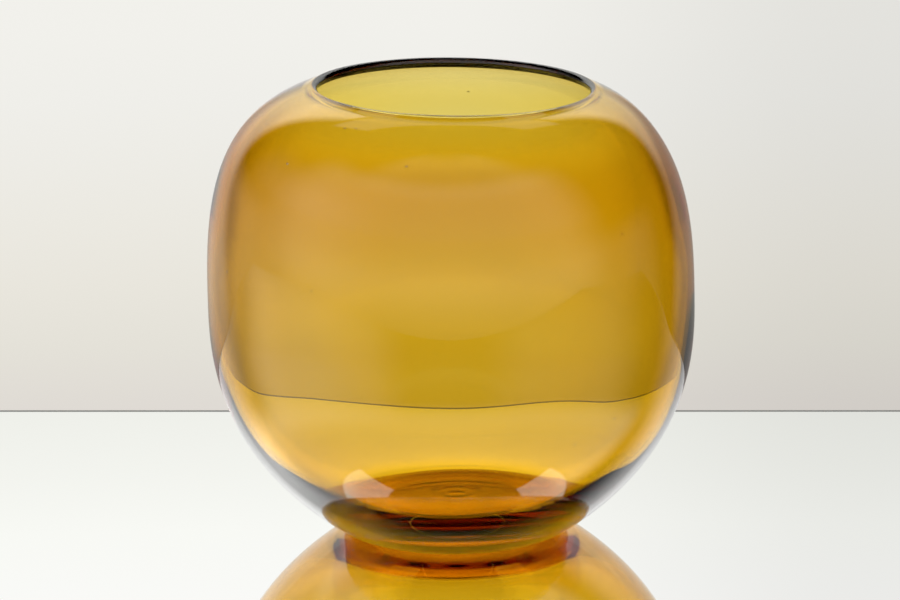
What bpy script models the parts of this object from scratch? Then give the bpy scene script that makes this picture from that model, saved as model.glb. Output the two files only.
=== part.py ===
"""A hand-blown bowl vase of cased glass, made of two fused layers.

clear_casing   the colourless outer gather: heavy base, foot, wall and rounded lip
amber_lining   the amber inner gather, a thin skin that lines the whole cavity

The origin is at the middle of the base, on the surface that the vase stands on. +Z is up.
"""

import math

import bmesh
import bpy

# ---- Driving dimensions, in metres -------------------------------------------------------

BODY_RADIUS = 0.1100          # outside, at the belly
BELLY_HEIGHT = 0.1060         # height of the widest level
LIP_HEIGHT = 0.2046           # top of the lip
LIP_CENTRE_RADIUS = 0.0633    # centre of the lip's round section
LIP_SECTION_RADIUS = 0.0023

# Outside curve, above and below the belly: (r / R) ** q + (height / rise) ** p = 1
SHOULDER_RISE = 0.1029
SHOULDER_POWERS = (2.80, 3.75)
LOWER_DROP = 0.1262
LOWER_POWERS = (2.39, 1.36)

# Foot and underside
FOOT_OUTER_RADIUS = 0.0435
FOOT_INNER_RADIUS = 0.0370
FOOT_ROUNDING_RADIUS = 0.0220
FOOT_SLOPE_ANGLE = math.radians(32)   # slope at which the foot meets the lower curve
PONTIL_RADIUS = 0.0150
PONTIL_DEPTH = 0.0020
PONTIL_RIM_DEPTH = 0.0015

# Cavity, with the same kind of curve as the outside, running out into a flat floor
CAVITY_RADIUS = 0.1062
CAVITY_LOWER_DROP = 0.1095
CAVITY_LOWER_POWERS = (2.45, 1.70)
FLOOR_HEIGHT = 0.0098
FLOOR_BLEND = 0.0060

# Amber layer, thin at the lip and the low belly, thicker at the shoulder and on the floor
LINING_AT_LIP = 0.0009
LINING_AT_SHOULDER = 0.0012
LINING_AT_LOW_BELLY = 0.0010
LINING_AT_FLOOR = 0.0018
LOW_BELLY_HEIGHT = 0.0600
SHOULDER_HEIGHT = 0.1740
LAYER_GAP = 0.0003

# Lip section angles, measured up from the outward horizontal
LIP_OUTSIDE_ANGLE = math.radians(68)
LIP_INSIDE_ANGLE = math.radians(248)
LINING_TOP_ANGLE = math.radians(200)

# What the free hand left: a lean, a mouth that sits off-centre, and a mouth that slopes
LEAN = -0.0018
MOUTH_SHIFT = 0.0031
MOUTH_SLOPE = -0.0231
MOUTH_SHIFT_STARTS = 0.75     # as a share of the height
MOUTH_SHIFT_RADIUS = 0.1045   # the shift grows inwards from this radius

# Fineness of the meshes
SEGMENTS = 48
LOWER_POINTS = 11
SHOULDER_POINTS = 12
CAVITY_POINTS = 12
LIP_POINTS = 6
FOOT_POINTS = 4
UNDERSIDE_POINTS = 3
SHARP_ANGLE = math.radians(40)     # edges sharper than this are shaded as edges
MERGE_DISTANCE = 1e-6

# Glass
GLASS_IOR = 1.5
GLASS_ROUGHNESS = 0.02
CLEAR_COLOUR = (0.93, 0.94, 0.93)
AMBER_COLOUR = (0.80, 0.47, 0.06)


# ---- Outline helpers. A point is (radius, height) ----------------------------------------

def radius_on_curve(rise_share, radius, powers):
    """Radius of a rounded curve at a share of its full rise or drop."""
    height_power, radius_power = powers
    return radius * max(0.0, 1.0 - rise_share ** height_power) ** (1.0 / radius_power)


def share_on_curve(radius_share, powers):
    """Share of the full rise or drop at which the curve has a given share of its radius."""
    height_power, radius_power = powers
    return (1.0 - radius_share ** radius_power) ** (1.0 / height_power)


def spread(first, last, count):
    """Evenly spread values, both ends included."""
    return [first + (last - first) * index / (count - 1) for index in range(count)]


def curve_points(radius, rise, powers, end_radius, count):
    """Points from the belly towards the end radius, closer together where the curve is tight."""
    end_angle = math.asin(share_on_curve(end_radius / radius, powers))
    points = []
    for angle in spread(0.0, end_angle, count):
        share = math.sin(angle)
        points.append((radius_on_curve(share, radius, powers), BELLY_HEIGHT + rise * share))
    return points


def lip_point(angle, section_radius=LIP_SECTION_RADIUS):
    """Point of the lip's round section, at an angle up from the outward horizontal."""
    return (LIP_CENTRE_RADIUS + section_radius * math.cos(angle),
            LIP_HEIGHT - LIP_SECTION_RADIUS + section_radius * math.sin(angle))


def foot_arc():
    """The rounding from the flat foot ring up to where it meets the lower curve."""
    return [(FOOT_OUTER_RADIUS + FOOT_ROUNDING_RADIUS * math.sin(angle),
             FOOT_ROUNDING_RADIUS * (1.0 - math.cos(angle)))
            for angle in spread(0.0, FOOT_SLOPE_ANGLE, FOOT_POINTS)]


def underside():
    """From the axis out: the polished pontil, its rim, the shallow hollow, the foot ring."""
    hollow = [(FOOT_INNER_RADIUS + (PONTIL_RADIUS - FOOT_INNER_RADIUS) * share,
               PONTIL_RIM_DEPTH * math.sin(0.5 * math.pi * share))
              for share in spread(1.0, 0.0, UNDERSIDE_POINTS)]
    return [(0.0, PONTIL_DEPTH)] + hollow


def outside():
    """From the axis under the base to the outer edge of the lip."""
    foot = foot_arc()
    low_share = (BELLY_HEIGHT - foot[-1][1]) / LOWER_DROP
    low_end_radius = radius_on_curve(low_share, BODY_RADIUS, LOWER_POWERS)
    lower = curve_points(BODY_RADIUS, -LOWER_DROP, LOWER_POWERS, low_end_radius, LOWER_POINTS)
    upper_end_radius = lip_point(LIP_OUTSIDE_ANGLE)[0]
    upper = curve_points(BODY_RADIUS, SHOULDER_RISE, SHOULDER_POWERS,
                         upper_end_radius, SHOULDER_POINTS)
    return underside() + foot[:-1] + lower[::-1] + upper[1:-1]


def rounded_maximum(first, second, blend):
    """The greater of two values, rounded where they cross."""
    return 0.5 * (first + second + math.hypot(first - second, blend))


def cavity():
    """From the lip's inside edge down the wall to the middle of the floor."""
    edge_radius, edge_height = lip_point(LIP_INSIDE_ANGLE)
    edge_share = share_on_curve(edge_radius / CAVITY_RADIUS, SHOULDER_POWERS)
    rise = (edge_height - BELLY_HEIGHT) / edge_share
    upper = curve_points(CAVITY_RADIUS, rise, SHOULDER_POWERS, edge_radius, CAVITY_POINTS)
    bowl = curve_points(CAVITY_RADIUS, -CAVITY_LOWER_DROP, CAVITY_LOWER_POWERS, 0.0, CAVITY_POINTS)
    lower = [(radius, rounded_maximum(height, FLOOR_HEIGHT, FLOOR_BLEND)) for radius, height in bowl]
    return upper[:0:-1] + lower


def lining_thickness(height):
    """Thickness of the amber layer at a height."""
    if height < LOW_BELLY_HEIGHT:
        share = (height - FLOOR_HEIGHT) / (LOW_BELLY_HEIGHT - FLOOR_HEIGHT)
        ends = (LINING_AT_FLOOR, LINING_AT_LOW_BELLY)
    elif height < SHOULDER_HEIGHT:
        share = (height - LOW_BELLY_HEIGHT) / (SHOULDER_HEIGHT - LOW_BELLY_HEIGHT)
        ends = (LINING_AT_LOW_BELLY, LINING_AT_SHOULDER)
    else:
        share = (height - SHOULDER_HEIGHT) / (LIP_HEIGHT - SHOULDER_HEIGHT)
        ends = (LINING_AT_SHOULDER, LINING_AT_LIP)
    share = min(max(share, 0.0), 1.0)
    blend = share * share * (3.0 - 2.0 * share)
    return ends[0] + (ends[1] - ends[0]) * blend


def offset_into_glass(points, extra):
    """The cavity's outline moved into the glass by the amber layer's thickness and a bit more."""
    moved = []
    for index, (radius, height) in enumerate(points):
        before = points[max(index - 1, 0)]
        after = points[min(index + 1, len(points) - 1)]
        along_r = after[0] - before[0]
        along_z = after[1] - before[1]
        length = math.hypot(along_r, along_z)
        distance = lining_thickness(height) + extra
        if radius < MERGE_DISTANCE:
            moved.append((0.0, height - distance))
        else:
            moved.append((radius - distance * along_z / length, height + distance * along_r / length))
    return moved


def lined_surface(top_angle):
    """The cavity's surface from a place on the lip's inside down to the floor's middle."""
    lip = [lip_point(angle) for angle in spread(top_angle, LIP_INSIDE_ANGLE, LIP_POINTS // 2 + 1)]
    return lip[:-1] + cavity()


# ---- Meshes ------------------------------------------------------------------------------

def smooth_step(value):
    """0 below 0, 1 above 1, and a smooth rise between."""
    value = min(max(value, 0.0), 1.0)
    return value * value * (3.0 - 2.0 * value)


def hand_blown(point):
    """Moves a point of the true round form to where the hand-blown form has it."""
    level = point.z / LIP_HEIGHT
    radius = math.hypot(point.x, point.y)
    inward = (MOUTH_SHIFT_RADIUS - radius) / (MOUTH_SHIFT_RADIUS - LIP_CENTRE_RADIUS)
    upward = (level - MOUTH_SHIFT_STARTS) / (1.0 - MOUTH_SHIFT_STARTS)
    shift = MOUTH_SHIFT * smooth_step(upward) * smooth_step(inward)
    slope = MOUTH_SLOPE * point.x * level ** 3
    point.x += LEAN * (level - 0.5) + shift
    point.z += slope


def glass_material(name, colour):
    """A polished glass of one colour."""
    material = bpy.data.materials.new(name)
    material.use_nodes = True
    shader = material.node_tree.nodes["Principled BSDF"]
    shader.inputs["Base Color"].default_value = (*colour, 1.0)
    shader.inputs["Roughness"].default_value = GLASS_ROUGHNESS
    shader.inputs["Metallic"].default_value = 0.0
    shader.inputs["Transmission Weight"].default_value = 1.0
    shader.inputs["IOR"].default_value = GLASS_IOR
    material.diffuse_color = (*colour, 1.0)
    return material


def turned_object(name, outline, material):
    """Spins an outline that starts and ends on the axis into one closed body."""
    mesh = bpy.data.meshes.new(name)
    form = bmesh.new()
    corners = [form.verts.new((radius, 0.0, height)) for radius, height in outline]
    edges = [form.edges.new(pair) for pair in zip(corners, corners[1:])]
    bmesh.ops.spin(form, geom=corners + edges, cent=(0, 0, 0), axis=(0, 0, 1),
                   angle=2.0 * math.pi, steps=SEGMENTS, use_merge=True)
    bmesh.ops.remove_doubles(form, verts=form.verts, dist=MERGE_DISTANCE)
    for corner in form.verts:
        hand_blown(corner.co)
    bmesh.ops.recalc_face_normals(form, faces=form.faces)
    form.to_mesh(mesh)
    form.free()
    mesh.shade_smooth()
    mesh.set_sharp_from_angle(angle=SHARP_ANGLE)
    mesh.materials.append(material)
    part = bpy.data.objects.new(name, mesh)
    bpy.context.scene.collection.objects.link(part)
    return part


def clear_casing():
    """Colourless layer: outside, lip, and the face that meets the amber layer."""
    seat_angle = LINING_TOP_ANGLE - LAYER_GAP / LIP_SECTION_RADIUS
    lip = [lip_point(angle) for angle in spread(LIP_OUTSIDE_ANGLE, seat_angle, LIP_POINTS)]
    fused_face = offset_into_glass(lined_surface(seat_angle), LAYER_GAP)
    outline = outside() + lip + fused_face
    return turned_object("clear_casing", outline, glass_material("clear_glass", CLEAR_COLOUR))


def amber_lining():
    """Amber layer: the face that meets the casing, and the cavity's own surface."""
    surface = lined_surface(LINING_TOP_ANGLE)
    outline = offset_into_glass(surface, 0.0)[::-1] + surface
    return turned_object("amber_lining", outline, glass_material("amber_glass", AMBER_COLOUR))


def clear_scene():
    """Removes whatever the scene holds."""
    for item in list(bpy.data.objects):
        bpy.data.objects.remove(item, do_unlink=True)


clear_scene()
clear_casing()
amber_lining()
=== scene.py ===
"""Looks of the hand-blown amber bowl vase: fine glass meshes, materials, table, light and camera."""

import math

import bmesh
import bpy
from mathutils import Euler, Matrix, Vector, noise


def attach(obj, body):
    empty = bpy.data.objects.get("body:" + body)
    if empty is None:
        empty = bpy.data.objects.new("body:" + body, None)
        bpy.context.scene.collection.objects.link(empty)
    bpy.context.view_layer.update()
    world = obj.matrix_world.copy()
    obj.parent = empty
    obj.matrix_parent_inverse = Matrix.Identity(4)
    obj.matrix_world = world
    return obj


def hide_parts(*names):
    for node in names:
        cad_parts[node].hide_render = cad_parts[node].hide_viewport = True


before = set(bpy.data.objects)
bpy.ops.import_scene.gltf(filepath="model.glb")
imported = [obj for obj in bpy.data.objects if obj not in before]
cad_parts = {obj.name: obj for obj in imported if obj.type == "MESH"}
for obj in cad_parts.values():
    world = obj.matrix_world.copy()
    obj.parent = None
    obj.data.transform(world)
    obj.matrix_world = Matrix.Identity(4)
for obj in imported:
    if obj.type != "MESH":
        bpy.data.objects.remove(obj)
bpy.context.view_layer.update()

# ---- The vase's form, in metres ------------------------------------------------------------
# The outside follows the CAD's curves, drawn finer, with a ripple in the pontil mark. Inside the
# glass, the cavity's floor and the amber layer are set by how they look through it.

BODY_RADIUS = 0.1100
BELLY_HEIGHT = 0.1060
LIP_HEIGHT = 0.2046
LIP_CENTRE_RADIUS = 0.0633
LIP_SECTION_RADIUS = 0.0023
SHOULDER_RISE = 0.1029
SHOULDER_POWERS = (2.80, 3.75)
LOWER_DROP = 0.1262
LOWER_POWERS = (2.39, 1.36)

FOOT_OUTER_RADIUS = 0.0435
FOOT_INNER_RADIUS = 0.0370
FOOT_ROUNDING_RADIUS = 0.0220
FOOT_SLOPE_ANGLE = math.radians(32)
PONTIL_RADIUS = 0.0150
PONTIL_DEPTH = 0.0020
PONTIL_RIM_DEPTH = 0.0015
PONTIL_RIPPLE = 0.00025
PONTIL_RIPPLES = 1.5
PONTIL_POINTS = 12

CAVITY_RADIUS = 0.1062
CAVITY_LOWER_DROP = 0.1060
CAVITY_LOWER_POWERS = (2.45, 1.90)
FLOOR_HEIGHT = 0.0108
FLOOR_BLEND = 0.0020

LINING_AT_LIP = 0.0006
LINING_AT_SHOULDER = 0.0012
LINING_AT_LOW_BELLY = 0.0009
LINING_AT_FLOOR = 0.0011
LOW_BELLY_HEIGHT = 0.0500
SHOULDER_HEIGHT = 0.1740
LINING_INSET = 0.00002
ON_AXIS = 1e-6

LIP_OUTSIDE_ANGLE = math.radians(68)
LIP_INSIDE_ANGLE = math.radians(248)
LINING_TOP_ANGLE = math.radians(200)

LEAN = -0.0018
MOUTH_SHIFT = 0.0031
MOUTH_SLOPE = -0.0231
MOUTH_SHIFT_STARTS = 0.75
MOUTH_SHIFT_RADIUS = 0.1045

# Hand-blown unevenness: the wall's inside swells and wanders a little, least near the lip, and
# the colour lies thicker in front towards the shoulder.
SWELL_DEPTH = 0.00045
SWELL_HEIGHT = 0.0850
SWELL_LENGTH = 0.1200
SWELL_LOBES = 2
WANDER_DEPTH = 0.00035
WANDER_LENGTH = 0.0450
WANDER_FADE = (0.1960, 0.1600)
COLOUR_SHIFT = 0.00045
COLOUR_SHIFT_HEIGHTS = (0.1300, 0.1750)

# Seeds, the tiny gas bubbles in the wall: turn in degrees, height, radius.
SEEDS = [(232.0, 0.1985, 0.00040), (236.0, 0.1990, 0.00032), (258.0, 0.1880, 0.00040),
         (221.0, 0.1830, 0.00042), (205.0, 0.1310, 0.00040), (301.0, 0.0620, 0.00036),
         (312.0, 0.0710, 0.00040), (84.0, 0.1850, 0.00040), (40.0, 0.1200, 0.00044),
         (128.0, 0.0900, 0.00038), (355.0, 0.1600, 0.00036)]
SEED_DEPTH = 0.0016
SEED_STRETCH = 1.5
SEED_SUBDIVISIONS = 3
SLOPE_STEP = 0.0001

SEGMENTS = 256
LOWER_POINTS = 60
SHOULDER_POINTS = 60
CAVITY_POINTS = 70
LIP_POINTS = 25
LINING_TOP_POINTS = 10
FOOT_POINTS = 10
UNDERSIDE_POINTS = 12

# ---- Camera --------------------------------------------------------------------------------

LENS = 200.0
CAMERA_PLACE = (-0.0006, -2.190, 0.664)
CAMERA_PITCH = math.radians(14.3)
CAMERA_ROLL = -0.0125
SENSOR_WIDTH = 36.0
CLIP_END = 100.0


# ---- Outlines ------------------------------------------------------------------------------

def smooth_step(value):
    value = min(max(value, 0.0), 1.0)
    return value * value * (3.0 - 2.0 * value)


def radius_on_curve(rise_share, radius, powers):
    """The radius of a power curve at a share of its rise, which starts at the widest ring."""
    height_power, radius_power = powers
    return radius * max(0.0, 1.0 - rise_share ** height_power) ** (1.0 / radius_power)


def share_on_curve(radius_share, powers):
    """The share of its rise at which a power curve has a share of its widest radius."""
    height_power, radius_power = powers
    return (1.0 - radius_share ** radius_power) ** (1.0 / height_power)


def spread(first, last, count):
    """Evenly spaced numbers, with both ends."""
    return [first + (last - first) * index / (count - 1) for index in range(count)]


def curve_points(radius, rise, powers, end_radius, count):
    end_angle = math.asin(share_on_curve(end_radius / radius, powers))
    points = []
    for angle in spread(0.0, end_angle, count):
        share = math.sin(angle)
        points.append((radius_on_curve(share, radius, powers), BELLY_HEIGHT + rise * share))
    return points


def lip_point(angle):
    return (LIP_CENTRE_RADIUS + LIP_SECTION_RADIUS * math.cos(angle),
            LIP_HEIGHT - LIP_SECTION_RADIUS + LIP_SECTION_RADIUS * math.sin(angle))


def foot_arc():
    return [(FOOT_OUTER_RADIUS + FOOT_ROUNDING_RADIUS * math.sin(angle),
             FOOT_ROUNDING_RADIUS * (1.0 - math.cos(angle)))
            for angle in spread(0.0, FOOT_SLOPE_ANGLE, FOOT_POINTS)]


def underside():
    hollow = [(FOOT_INNER_RADIUS + (PONTIL_RADIUS - FOOT_INNER_RADIUS) * share,
               PONTIL_RIM_DEPTH * math.sin(0.5 * math.pi * share))
              for share in spread(1.0, 0.0, UNDERSIDE_POINTS)]
    ground = []
    for share in spread(0.0, 1.0, PONTIL_POINTS)[:-1]:
        ripple = PONTIL_RIPPLE * (math.cos(2.0 * math.pi * PONTIL_RIPPLES * share) - 1.0) * (1.0 - share)
        ground.append((PONTIL_RADIUS * share,
                       PONTIL_DEPTH + (PONTIL_RIM_DEPTH - PONTIL_DEPTH) * share ** 2 + ripple))
    return ground + hollow


def outside():
    foot = foot_arc()
    low_share = (BELLY_HEIGHT - foot[-1][1]) / LOWER_DROP
    low_end_radius = radius_on_curve(low_share, BODY_RADIUS, LOWER_POWERS)
    lower = curve_points(BODY_RADIUS, -LOWER_DROP, LOWER_POWERS, low_end_radius, LOWER_POINTS)
    upper_end_radius = lip_point(LIP_OUTSIDE_ANGLE)[0]
    upper = curve_points(BODY_RADIUS, SHOULDER_RISE, SHOULDER_POWERS,
                         upper_end_radius, SHOULDER_POINTS)
    return underside() + foot[:-1] + lower[::-1] + upper[1:-1]


def max_blend(first, second, blend):
    """The greater of two values, rounded where they cross."""
    return 0.5 * (first + second + math.hypot(first - second, blend))


def cavity():
    edge_radius, edge_height = lip_point(LIP_INSIDE_ANGLE)
    edge_share = share_on_curve(edge_radius / CAVITY_RADIUS, SHOULDER_POWERS)
    rise = (edge_height - BELLY_HEIGHT) / edge_share
    upper = curve_points(CAVITY_RADIUS, rise, SHOULDER_POWERS, edge_radius, CAVITY_POINTS)
    lower = [(radius, max_blend(height, FLOOR_HEIGHT, FLOOR_BLEND)) for radius, height in
             curve_points(CAVITY_RADIUS, -CAVITY_LOWER_DROP, CAVITY_LOWER_POWERS, 0.0, CAVITY_POINTS)]
    return upper[:0:-1] + lower


def lining_thickness(height):
    """The amber layer's thickness, blended from floor to low belly, to shoulder, to lip."""
    if height < LOW_BELLY_HEIGHT:
        share = (height - FLOOR_HEIGHT) / (LOW_BELLY_HEIGHT - FLOOR_HEIGHT)
        ends = (LINING_AT_FLOOR, LINING_AT_LOW_BELLY)
    elif height < SHOULDER_HEIGHT:
        share = (height - LOW_BELLY_HEIGHT) / (SHOULDER_HEIGHT - LOW_BELLY_HEIGHT)
        ends = (LINING_AT_LOW_BELLY, LINING_AT_SHOULDER)
    else:
        share = (height - SHOULDER_HEIGHT) / (LIP_HEIGHT - SHOULDER_HEIGHT)
        ends = (LINING_AT_SHOULDER, LINING_AT_LIP)
    return ends[0] + (ends[1] - ends[0]) * smooth_step(share)


def offset_into_glass(points, inset, with_layer):
    """Moves an outline into the wall by the inset, and by the layer's thickness if asked."""
    moved = []
    for index, (radius, height) in enumerate(points):
        before = points[max(index - 1, 0)]
        after = points[min(index + 1, len(points) - 1)]
        along_r = after[0] - before[0]
        along_z = after[1] - before[1]
        length = math.hypot(along_r, along_z)
        distance = inset + (lining_thickness(height) if with_layer else 0.0)
        if radius < ON_AXIS:
            moved.append((0.0, height - distance))
        else:
            moved.append((radius - distance * along_z / length, height + distance * along_r / length))
    return moved


# ---- Meshes --------------------------------------------------------------------------------

def hand_blown(point):
    """Leans a point of the true form, and shifts and slopes the mouth."""
    level = point.z / LIP_HEIGHT
    radius = math.hypot(point.x, point.y)
    inward = (MOUTH_SHIFT_RADIUS - radius) / (MOUTH_SHIFT_RADIUS - LIP_CENTRE_RADIUS)
    upward = (level - MOUTH_SHIFT_STARTS) / (1.0 - MOUTH_SHIFT_STARTS)
    shift = MOUTH_SHIFT * smooth_step(upward) * smooth_step(inward)
    slope = MOUTH_SLOPE * point.x * level ** 3
    point.x += LEAN * (level - 0.5) + shift
    point.z += slope


def wall_unevenness(turn, height):
    """How far the wall's inside stands out from its true curve at a turn and a height."""
    phase = (height - SWELL_HEIGHT) / SWELL_LENGTH
    swell = 0.0
    if abs(phase) < 0.5:
        swell = math.cos(SWELL_LOBES * turn) * math.sin(2.0 * math.pi * phase)
    place = Vector((BODY_RADIUS * math.cos(turn), BODY_RADIUS * math.sin(turn), height)) / WANDER_LENGTH
    fade = smooth_step((WANDER_FADE[0] - height) / (WANDER_FADE[0] - WANDER_FADE[1]))
    return SWELL_DEPTH * swell + WANDER_DEPTH * fade * noise.noise(place)


def turned_points(outline, uneven_from, shifted_until):
    """A ring of points for each point of the outline, and one point at each end, on the axis."""
    turns = [2.0 * math.pi * step / SEGMENTS for step in range(SEGMENTS)]
    points = [Vector((0.0, 0.0, outline[0][1])), Vector((0.0, 0.0, outline[-1][1]))]
    for index, (radius, height) in enumerate(outline[1:-1], start=1):
        shift = 0.0
        if index < shifted_until:
            start, end = COLOUR_SHIFT_HEIGHTS
            shift = COLOUR_SHIFT * smooth_step((height - start) / (end - start))
        for turn in turns:
            ring_radius = radius
            if index >= uneven_from:
                ring_radius += wall_unevenness(turn, height) * radius / BODY_RADIUS
            points.append(Vector((ring_radius * math.cos(turn),
                                  ring_radius * math.sin(turn) - shift, height)))
    return points


def turned_faces(rings):
    faces = []
    for step in range(SEGMENTS):
        beside = (step + 1) % SEGMENTS
        faces.append((0, 2 + beside, 2 + step))
        for ring in range(rings - 1):
            low = 2 + ring * SEGMENTS
            faces.append((low + step, low + beside, low + SEGMENTS + beside, low + SEGMENTS + step))
        last = 2 + (rings - 1) * SEGMENTS
        faces.append((1, last + step, last + beside))
    return faces


def link_mesh(name, mesh, material):
    mesh.materials.append(material)
    item = bpy.data.objects.new(name, mesh)
    bpy.context.scene.collection.objects.link(item)
    return item


def turned_object(name, outline, material, uneven_from=0, shifted_until=0):
    """A closed body of revolution: uneven from one outline index on, shifted up to another."""
    points = turned_points(outline, uneven_from, shifted_until)
    for point in points:
        hand_blown(point)
    mesh = bpy.data.meshes.new(name)
    mesh.from_pydata(points, [], turned_faces(len(outline) - 2))
    mesh.shade_smooth()
    return link_mesh(name, mesh, material)


# ---- Node helpers --------------------------------------------------------------------------

def math_node(tree, operation, *inputs):
    """A Math node: numbers are set on it, and sockets are linked to it."""
    node = tree.nodes.new("ShaderNodeMath")
    node.operation = operation
    for socket, value in zip(node.inputs, inputs):
        if isinstance(value, float):
            socket.default_value = value
        else:
            tree.links.new(value, socket)
    return node.outputs["Value"]


def straight_ramp(tree, value, low, high, at_low, at_high):
    """Goes from at_low to at_high while the value goes from low to high, and stops there."""
    node = tree.nodes.new("ShaderNodeMapRange")
    tree.links.new(value, node.inputs["Value"])
    for name, number in (("From Min", low), ("From Max", high), ("To Min", at_low), ("To Max", at_high)):
        node.inputs[name].default_value = number
    return node.outputs["Result"]


def ramp_between(tree, value, low, high, at_low, at_high):
    """A ramp with soft ends."""
    result = straight_ramp(tree, value, low, high, at_low, at_high)
    result.node.interpolation_type = "SMOOTHSTEP"
    return result


def between(tree, value, low, high, softness):
    """One from low to high, and nothing outside, with soft ends."""
    rise = ramp_between(tree, value, low - softness / 2, low + softness / 2, 0.0, 1.0)
    fall = ramp_between(tree, value, high - softness / 2, high + softness / 2, 1.0, 0.0)
    return math_node(tree, "MULTIPLY", rise, fall)


# ---- Materials -----------------------------------------------------------------------------

GLASS_IOR = 1.5
LAYER_IOR = 1.0
BUBBLE_IOR = 1.9
BUBBLE_COLOUR = (0.93, 0.90, 0.82)
WHITE = (1.0, 1.0, 1.0)
CORD_SCALE = 32.0
CORD_DETAIL = 1.0
CORD_DEPTH = 0.00003
WEAR_HEIGHT = 0.00015
WEAR_SCALE = 900.0
WEAR_DETAIL = 3.0
WEAR_THRESHOLD = 0.5
WEAR_ROUGHNESS = 0.18
CLEAR_DENSITY = 5.0
CLEAR_COLOUR = (0.25, 0.35, 0.28)
ABSORPTION_DENSITY = 2000.0
ABSORPTION_COLOUR = (0.946, 0.8225, 0.0)


def noise_texture(tree, coordinates, scale, detail):
    texture = tree.nodes.new("ShaderNodeTexNoise")
    texture.inputs["Scale"].default_value = scale
    texture.inputs["Detail"].default_value = detail
    tree.links.new(coordinates.outputs["Object"], texture.inputs["Vector"])
    return texture.outputs["Fac"]


def polished_glass(name, colour, ior):
    material = bpy.data.materials.new(name)
    material.use_nodes = True
    shader = material.node_tree.nodes["Principled BSDF"]
    shader.inputs["Base Color"].default_value = (*colour, 1.0)
    shader.inputs["Roughness"].default_value = 0.0
    shader.inputs["Transmission Weight"].default_value = 1.0
    shader.inputs["IOR"].default_value = ior
    return material


def absorb(material, density, colour):
    """Colours the light by how far it goes through the material."""
    tree = material.node_tree
    absorption = tree.nodes.new("ShaderNodeVolumeAbsorption")
    absorption.inputs["Density"].default_value = density
    absorption.inputs["Color"].default_value = (*colour, 1.0)
    tree.links.new(absorption.outputs["Volume"], tree.nodes["Material Output"].inputs["Volume"])


def foot_wear(tree, coordinates):
    """Fine scratches, only on the narrow ring that the vase stands on."""
    split = tree.nodes.new("ShaderNodeSeparateXYZ")
    tree.links.new(coordinates.outputs["Object"], split.inputs["Vector"])
    on_ring = straight_ramp(tree, split.outputs["Z"], 0.0, WEAR_HEIGHT, 1.0, 0.0)
    scratches = noise_texture(tree, coordinates, WEAR_SCALE, WEAR_DETAIL)
    spots = math_node(tree, "GREATER_THAN", scratches, WEAR_THRESHOLD)
    worn = math_node(tree, "MULTIPLY", on_ring, spots)
    return math_node(tree, "MULTIPLY", worn, WEAR_ROUGHNESS)


def clear_glass():
    """Clear glass with fine cords, the slow waves that blown glass has, and a worn foot ring."""
    material = polished_glass("clear_glass", WHITE, GLASS_IOR)
    absorb(material, CLEAR_DENSITY, CLEAR_COLOUR)
    tree = material.node_tree
    shader = tree.nodes["Principled BSDF"]
    coordinates = tree.nodes.new("ShaderNodeTexCoord")
    bump = tree.nodes.new("ShaderNodeBump")
    bump.inputs["Distance"].default_value = CORD_DEPTH
    tree.links.new(noise_texture(tree, coordinates, CORD_SCALE, CORD_DETAIL), bump.inputs["Height"])
    tree.links.new(bump.outputs["Normal"], shader.inputs["Normal"])
    tree.links.new(foot_wear(tree, coordinates), shader.inputs["Roughness"])
    return material


def amber_glass():
    """The layer inside the clear glass: it only colours the light, and doesn't bend it again."""
    material = polished_glass("amber_glass", WHITE, LAYER_IOR)
    absorb(material, ABSORPTION_DENSITY, ABSORPTION_COLOUR)
    return material


def seed_gas():
    """A tiny lens that bends light strongly, so that it shows as a speck with a dark rim."""
    return polished_glass("seed_gas", BUBBLE_COLOUR, BUBBLE_IOR)


# ---- The vase ------------------------------------------------------------------------------

def build_vase():
    lip = [lip_point(angle) for angle in spread(LIP_OUTSIDE_ANGLE, LIP_INSIDE_ANGLE, LIP_POINTS)]
    outer = outside() + lip[:-1]
    casing = turned_object("vase_glass_body", outer + cavity(), clear_glass(), uneven_from=len(outer))
    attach(casing, "root")
    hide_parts("clear_casing")

    top = [lip_point(angle) for angle in spread(LINING_TOP_ANGLE, LIP_INSIDE_ANGLE, LINING_TOP_POINTS)]
    surface = top[:-1] + cavity()
    near = offset_into_glass(surface, LINING_INSET, False)
    far = offset_into_glass(surface, LINING_INSET, True)
    lining = turned_object("vase_amber_layer", far[::-1] + near, amber_glass(), shifted_until=len(far))
    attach(lining, "root")
    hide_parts("amber_lining")


def wall_radius(height):
    """The outside radius at a height between the foot and the lip."""
    if height > BELLY_HEIGHT:
        return radius_on_curve((height - BELLY_HEIGHT) / SHOULDER_RISE, BODY_RADIUS, SHOULDER_POWERS)
    return radius_on_curve((BELLY_HEIGHT - height) / LOWER_DROP, BODY_RADIUS, LOWER_POWERS)


def build_seeds():
    mesh = bpy.data.meshes.new("vase_seed_bubbles")
    form = bmesh.new()
    for degrees, height, size in SEEDS:
        turn = math.radians(degrees)
        radius = wall_radius(height)
        slope = (wall_radius(height + SLOPE_STEP) - wall_radius(height - SLOPE_STEP)) / (2.0 * SLOPE_STEP)
        inward = Vector((-math.cos(turn), -math.sin(turn), slope)).normalized()
        place = Vector((radius * math.cos(turn), radius * math.sin(turn), height))
        hand_blown(place)
        place += SEED_DEPTH * inward
        pull = Matrix.Diagonal((1.0, SEED_STRETCH, 1.0, 1.0))
        matrix = Matrix.Translation(place) @ Matrix.Rotation(turn, 4, "Z") @ pull
        bmesh.ops.create_icosphere(form, subdivisions=SEED_SUBDIVISIONS, radius=size, matrix=matrix)
    form.to_mesh(mesh)
    form.free()
    mesh.shade_smooth()
    seeds = link_mesh("vase_seed_bubbles", mesh, seed_gas())
    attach(seeds, "root")


# ---- Stage ---------------------------------------------------------------------------------

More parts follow.
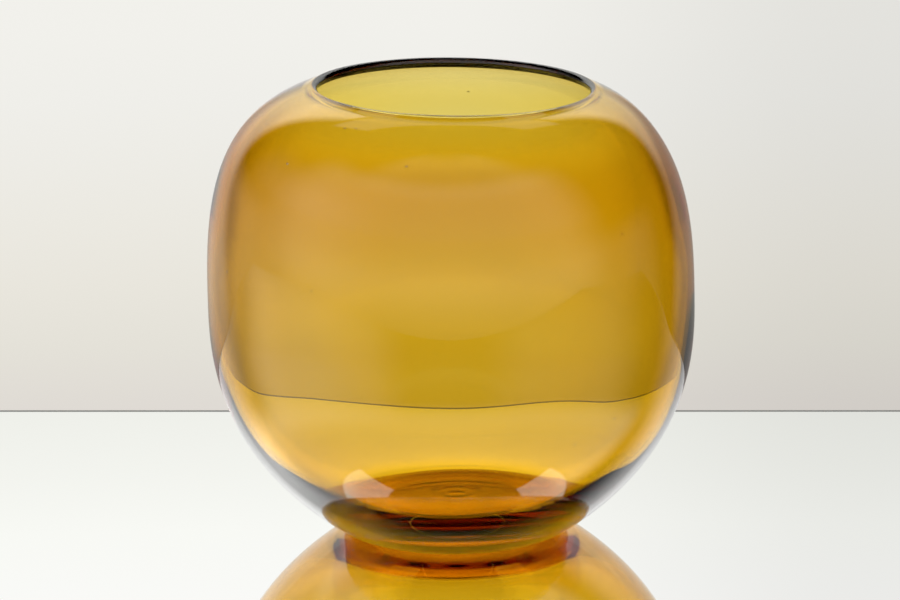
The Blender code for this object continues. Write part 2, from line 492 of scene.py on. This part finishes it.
TABLE_BACK = 0.1915
TABLE_FRONT = -0.60
TABLE_HALF_WIDTH = 1.2
TABLE_HEIGHT = -0.0001
TABLE_TURN = -0.046
EDGE_WIDTH = 0.003
EDGE_COLOUR = (0.20, 0.20, 0.19)
EDGE_ROUGHNESS = 0.5
PALE_TOP = (0.90, 0.90, 0.88)
FACING_BLEND = 0.5
STEEP_FACING = (0.257, 0.384)


def table_gloss():
    """A mirror at low angles, plain pale when seen steeply, and clear when seen from below."""
    material = bpy.data.materials.new("table_gloss")
    material.use_nodes = True
    tree = material.node_tree
    shader = tree.nodes["Principled BSDF"]
    shader.inputs["Base Color"].default_value = (*WHITE, 1.0)
    shader.inputs["Metallic"].default_value = 1.0
    shader.inputs["Roughness"].default_value = 0.0
    paths = tree.nodes.new("ShaderNodeLightPath")
    weight = tree.nodes.new("ShaderNodeLayerWeight")
    weight.inputs["Blend"].default_value = FACING_BLEND
    steep = ramp_between(tree, weight.outputs["Facing"], *STEEP_FACING, 1.0, 0.0)
    seen = math_node(tree, "MAXIMUM", paths.outputs["Is Camera Ray"], paths.outputs["Is Transmission Ray"])
    pale = tree.nodes.new("ShaderNodeBsdfDiffuse")
    pale.inputs["Color"].default_value = (*PALE_TOP, 1.0)
    top = tree.nodes.new("ShaderNodeMixShader")
    tree.links.new(math_node(tree, "MULTIPLY", steep, seen), top.inputs["Fac"])
    tree.links.new(shader.outputs["BSDF"], top.inputs[1])
    tree.links.new(pale.outputs["BSDF"], top.inputs[2])
    geometry = tree.nodes.new("ShaderNodeNewGeometry")
    nothing = tree.nodes.new("ShaderNodeBsdfTransparent")
    mix = tree.nodes.new("ShaderNodeMixShader")
    tree.links.new(geometry.outputs["Backfacing"], mix.inputs["Fac"])
    tree.links.new(top.outputs["Shader"], mix.inputs[1])
    tree.links.new(nothing.outputs["BSDF"], mix.inputs[2])
    tree.links.new(mix.outputs["Shader"], tree.nodes["Material Output"].inputs["Surface"])
    return material


def table_edge():
    material = bpy.data.materials.new("table_edge")
    material.use_nodes = True
    shader = material.node_tree.nodes["Principled BSDF"]
    shader.inputs["Base Color"].default_value = (*EDGE_COLOUR, 1.0)
    shader.inputs["Roughness"].default_value = EDGE_ROUGHNESS
    return material


def sheet(name, y_front, y_back, material):
    corners = [(-TABLE_HALF_WIDTH, y_front), (TABLE_HALF_WIDTH, y_front),
               (TABLE_HALF_WIDTH, y_back), (-TABLE_HALF_WIDTH, y_back)]
    mesh = bpy.data.meshes.new(name)
    mesh.from_pydata([(x, y + TABLE_TURN * x, TABLE_HEIGHT) for x, y in corners], [], [(0, 1, 2, 3)])
    link_mesh(name, mesh, material)


def build_table():
    sheet("table_top", TABLE_FRONT, TABLE_BACK, table_gloss())
    sheet("table_back_edge", TABLE_BACK, TABLE_BACK + EDGE_WIDTH, table_edge())


# ---- Studio light --------------------------------------------------------------------------
# Angles are in degrees. Azimuth 0 is in front of the vase, and 90 to the right.

# The plain background: elevation, and the tone there with 255 as white.
SKY_STOPS = [
    (-90.0, (200, 198, 193)), (-25.0, (214, 210, 204)), (-15.6, (222, 217, 211)),
    (-14.76, (228, 225, 216)), (-13.84, (234, 231, 222)), (-12.12, (239, 238, 233)),
    (-11.0, (242, 241, 236)), (0.0, (242, 241, 236)), (15.0, (237, 238, 232)),
    (15.8, (240, 241, 235)), (16.8, (248, 249, 244)), (18.0, (250, 250, 248)),
    (40.0, (252, 252, 250)), (90.0, (252, 252, 250)),
]
TONE_WHITE = 255.0

# The background is brighter high up, a little darker to the right, and has a dark cap overhead.
# RIGHT_SIDE is how far a direction points to the right, from where the darkening starts.
HIGH_ELEVATIONS = (18.5, 30.0)
HIGH_GAIN = 1.45
RIGHT_SIDE = (-0.005, 0.085)
RIGHT_LEVEL = 0.87
DARK_ELEVATION = 65.0
DARK_INNER = 28.0
DARK_OUTER = 42.0
DARK_LEVEL = 0.03

# Soft panels that only show in polished surfaces: azimuth range, elevation range, softness, light
# when reflected once, and light when reflected again, as in the vase's mirror image in the table.
PANELS = [
    ((-90.0, 70.0), (-8.0, 52.0), 34.0, 1.10, 0.0),
    ((-150.0, 112.0), (31.0, 60.0), 20.0, 0.0, 1.25),
    ((-112.0, -50.0), (-30.0, 34.0), 44.0, 0.60, 0.9),
    ((-108.0, -30.0), (6.0, 34.0), 24.0, 0.0, 0.7),
    ((-70.0, 60.0), (-32.0, 0.0), 34.0, 0.35, 0.35),
    ((25.0, 90.0), (6.0, 34.0), 30.0, 0.0, 0.5),
    ((-165.0, -100.0), (-20.0, 8.0), 24.0, 0.42, 0.3),
    ((60.0, 108.0), (-24.0, 6.0), 24.0, 0.35, 0.35),
    ((-60.0, 60.0), (46.0, 82.0), 30.0, 0.55, 0.0),
    ((-190.0, -150.0), (46.0, 57.0), 3.0, 0.65, 0.0),
    ((150.0, 190.0), (46.0, 57.0), 3.0, 0.65, 0.0),
    ((-134.0, -76.0), (58.0, 71.0), 2.0, 0.0, 2.3),
    ((77.0, 135.0), (58.0, 71.0), 2.0, 0.0, 2.3),
]
PANEL_HEIGHT_SOFTNESS = 0.5
REFLECTIONS_LIMIT = 1.5

# The bright background behind the vase, as its polish reflects it: its slanting side edges, its
# top, and its level from low to high. It is full straight behind. REAR_IN_TABLE is how far a
# direction points backward, from where it starts to show in the table's mirror image.
REAR_SLANT = 2.04
REAR_EDGE = (268.0, 290.0)
REAR_TOP = (43.0, 46.0)
REAR_ELEVATIONS = (0.0, 14.0)
REAR_LEVELS = (0.45, 1.25)
STRAIGHT_BACK = (168.0, 174.0)
REAR_IN_TABLE = (0.35, 0.75)

MOST_BOUNCES = 80
MOST_GLOSSY_BOUNCES = 60
MOST_CLEAR_SURFACES = 24


def linear(tone):
    """A display tone as the linear light that shaders use."""
    value = tone / TONE_WHITE
    return value / 12.92 if value <= 0.04045 else ((value + 0.055) / 1.055) ** 2.4


def sky_colour(tree, elevation):
    bottom = SKY_STOPS[0][0]
    top = SKY_STOPS[-1][0]
    share = straight_ramp(tree, elevation, bottom, top, 0.0, 1.0)
    ramp = tree.nodes.new("ShaderNodeValToRGB")
    elements = ramp.color_ramp.elements
    for height, _ in SKY_STOPS[1:-1]:
        elements.new((height - bottom) / (top - bottom))
    for element, (_, tones) in zip(elements, SKY_STOPS):
        element.color = (*[linear(tone) for tone in tones], 1.0)
    tree.links.new(share, ramp.inputs["Fac"])
    return ramp.outputs["Color"]


def sky_level(tree, direction, rightward, elevation):
    toward_cap = tree.nodes.new("ShaderNodeVectorMath")
    toward_cap.operation = "DOT_PRODUCT"
    tree.links.new(direction, toward_cap.inputs[0])
    cap = math.radians(DARK_ELEVATION)
    toward_cap.inputs[1].default_value = (0.0, -math.cos(cap), math.sin(cap))
    outer, inner = [math.cos(math.radians(angle)) for angle in (DARK_OUTER, DARK_INNER)]
    level = ramp_between(tree, toward_cap.outputs["Value"], outer, inner, 1.0, DARK_LEVEL)
    gain = ramp_between(tree, elevation, *HIGH_ELEVATIONS, 1.0, HIGH_GAIN)
    side = ramp_between(tree, rightward, *RIGHT_SIDE, 1.0, RIGHT_LEVEL)
    return math_node(tree, "MULTIPLY", math_node(tree, "MULTIPLY", level, gain), side)


def panel_light(tree, azimuth, elevation, reflected_once):
    total = 0.0
    for azimuths, elevations, softness, once, again in PANELS:
        across = between(tree, azimuth, *azimuths, softness)
        upward = between(tree, elevation, *elevations, softness * PANEL_HEIGHT_SOFTNESS)
        shape = math_node(tree, "MULTIPLY", across, upward)
        strength = ramp_between(tree, reflected_once, 0.0, 1.0, again, once)
        total = math_node(tree, "MULTIPLY_ADD", shape, strength, total)
    return total


def rear_light(tree, azimuth, elevation, backward, reflected_once):
    turned_away = math_node(tree, "ABSOLUTE", azimuth)
    below_slant = math_node(tree, "SUBTRACT", math_node(tree, "MULTIPLY", turned_away, REAR_SLANT), elevation)
    rear = ramp_between(tree, below_slant, *REAR_EDGE, 0.0, 1.0)
    rear = math_node(tree, "MULTIPLY", rear, ramp_between(tree, elevation, *REAR_ELEVATIONS, *REAR_LEVELS))
    straight = ramp_between(tree, turned_away, *STRAIGHT_BACK, 0.0, 1.0)
    rear = math_node(tree, "MULTIPLY_ADD", straight, math_node(tree, "SUBTRACT", 1.0, rear), rear)
    once = math_node(tree, "MULTIPLY", rear, ramp_between(tree, elevation, *REAR_TOP, 1.0, 0.0))
    in_table = ramp_between(tree, backward, *REAR_IN_TABLE, 0.0, 1.0)
    again = math_node(tree, "MULTIPLY", in_table, math_node(tree, "SUBTRACT", 1.0, reflected_once))
    return math_node(tree, "MAXIMUM", once, again)


def background(tree, colour, strength):
    node = tree.nodes.new("ShaderNodeBackground")
    tree.links.new(colour, node.inputs["Color"])
    tree.links.new(strength, node.inputs["Strength"])
    return node.outputs["Background"]


def build_world():
    """A plain studio for what is seen directly, and soft panels for what the polish reflects."""
    world = bpy.data.worlds.new("studio")
    bpy.context.scene.world = world
    world.use_nodes = True
    tree = world.node_tree
    direction = tree.nodes.new("ShaderNodeTexCoord").outputs["Generated"]
    split = tree.nodes.new("ShaderNodeSeparateXYZ")
    tree.links.new(direction, split.inputs["Vector"])
    rightward, backward, upward = split.outputs
    degrees = 180.0 / math.pi
    elevation = math_node(tree, "MULTIPLY", math_node(tree, "ARCSINE", upward), degrees)
    forward = math_node(tree, "MULTIPLY", backward, -1.0)
    azimuth = math_node(tree, "MULTIPLY", math_node(tree, "ARCTAN2", rightward, forward), degrees)

    paths = tree.nodes.new("ShaderNodeLightPath")
    reflected_once = math_node(tree, "LESS_THAN", paths.outputs["Glossy Depth"], REFLECTIONS_LIMIT)
    colour = sky_colour(tree, elevation)
    level = sky_level(tree, direction, rightward, elevation)
    panels = panel_light(tree, azimuth, elevation, reflected_once)
    rear = rear_light(tree, azimuth, elevation, backward, reflected_once)
    polish = math_node(tree, "ADD", panels, math_node(tree, "MULTIPLY", level, rear))
    mix = tree.nodes.new("ShaderNodeMixShader")
    tree.links.new(paths.outputs["Is Glossy Ray"], mix.inputs["Fac"])
    tree.links.new(background(tree, colour, level), mix.inputs[1])
    tree.links.new(background(tree, colour, polish), mix.inputs[2])
    tree.nodes.remove(tree.nodes["Background"])
    tree.links.new(mix.outputs["Shader"], tree.nodes["World Output"].inputs["Surface"])


def build_camera():
    data = bpy.data.cameras.new("camera")
    data.lens = LENS
    data.sensor_width = SENSOR_WIDTH
    data.clip_end = CLIP_END
    camera = bpy.data.objects.new("camera", data)
    bpy.context.scene.collection.objects.link(camera)
    turn = Euler((math.pi / 2 - CAMERA_PITCH, 0.0, 0.0)).to_matrix().to_4x4()
    camera.matrix_world = Matrix.Translation(CAMERA_PLACE) @ turn @ Matrix.Rotation(CAMERA_ROLL, 4, "Z")
    bpy.context.scene.camera = camera


def set_light_paths():
    scene = bpy.context.scene
    scene.view_settings.view_transform = "Standard"
    scene.cycles.max_bounces = MOST_BOUNCES
    scene.cycles.transmission_bounces = MOST_BOUNCES
    scene.cycles.glossy_bounces = MOST_GLOSSY_BOUNCES
    scene.cycles.transparent_max_bounces = MOST_CLEAR_SURFACES
    scene.cycles.caustics_reflective = True
    scene.cycles.caustics_refractive = True


build_vase()
build_seeds()
build_table()
build_world()
build_camera()
set_light_paths()
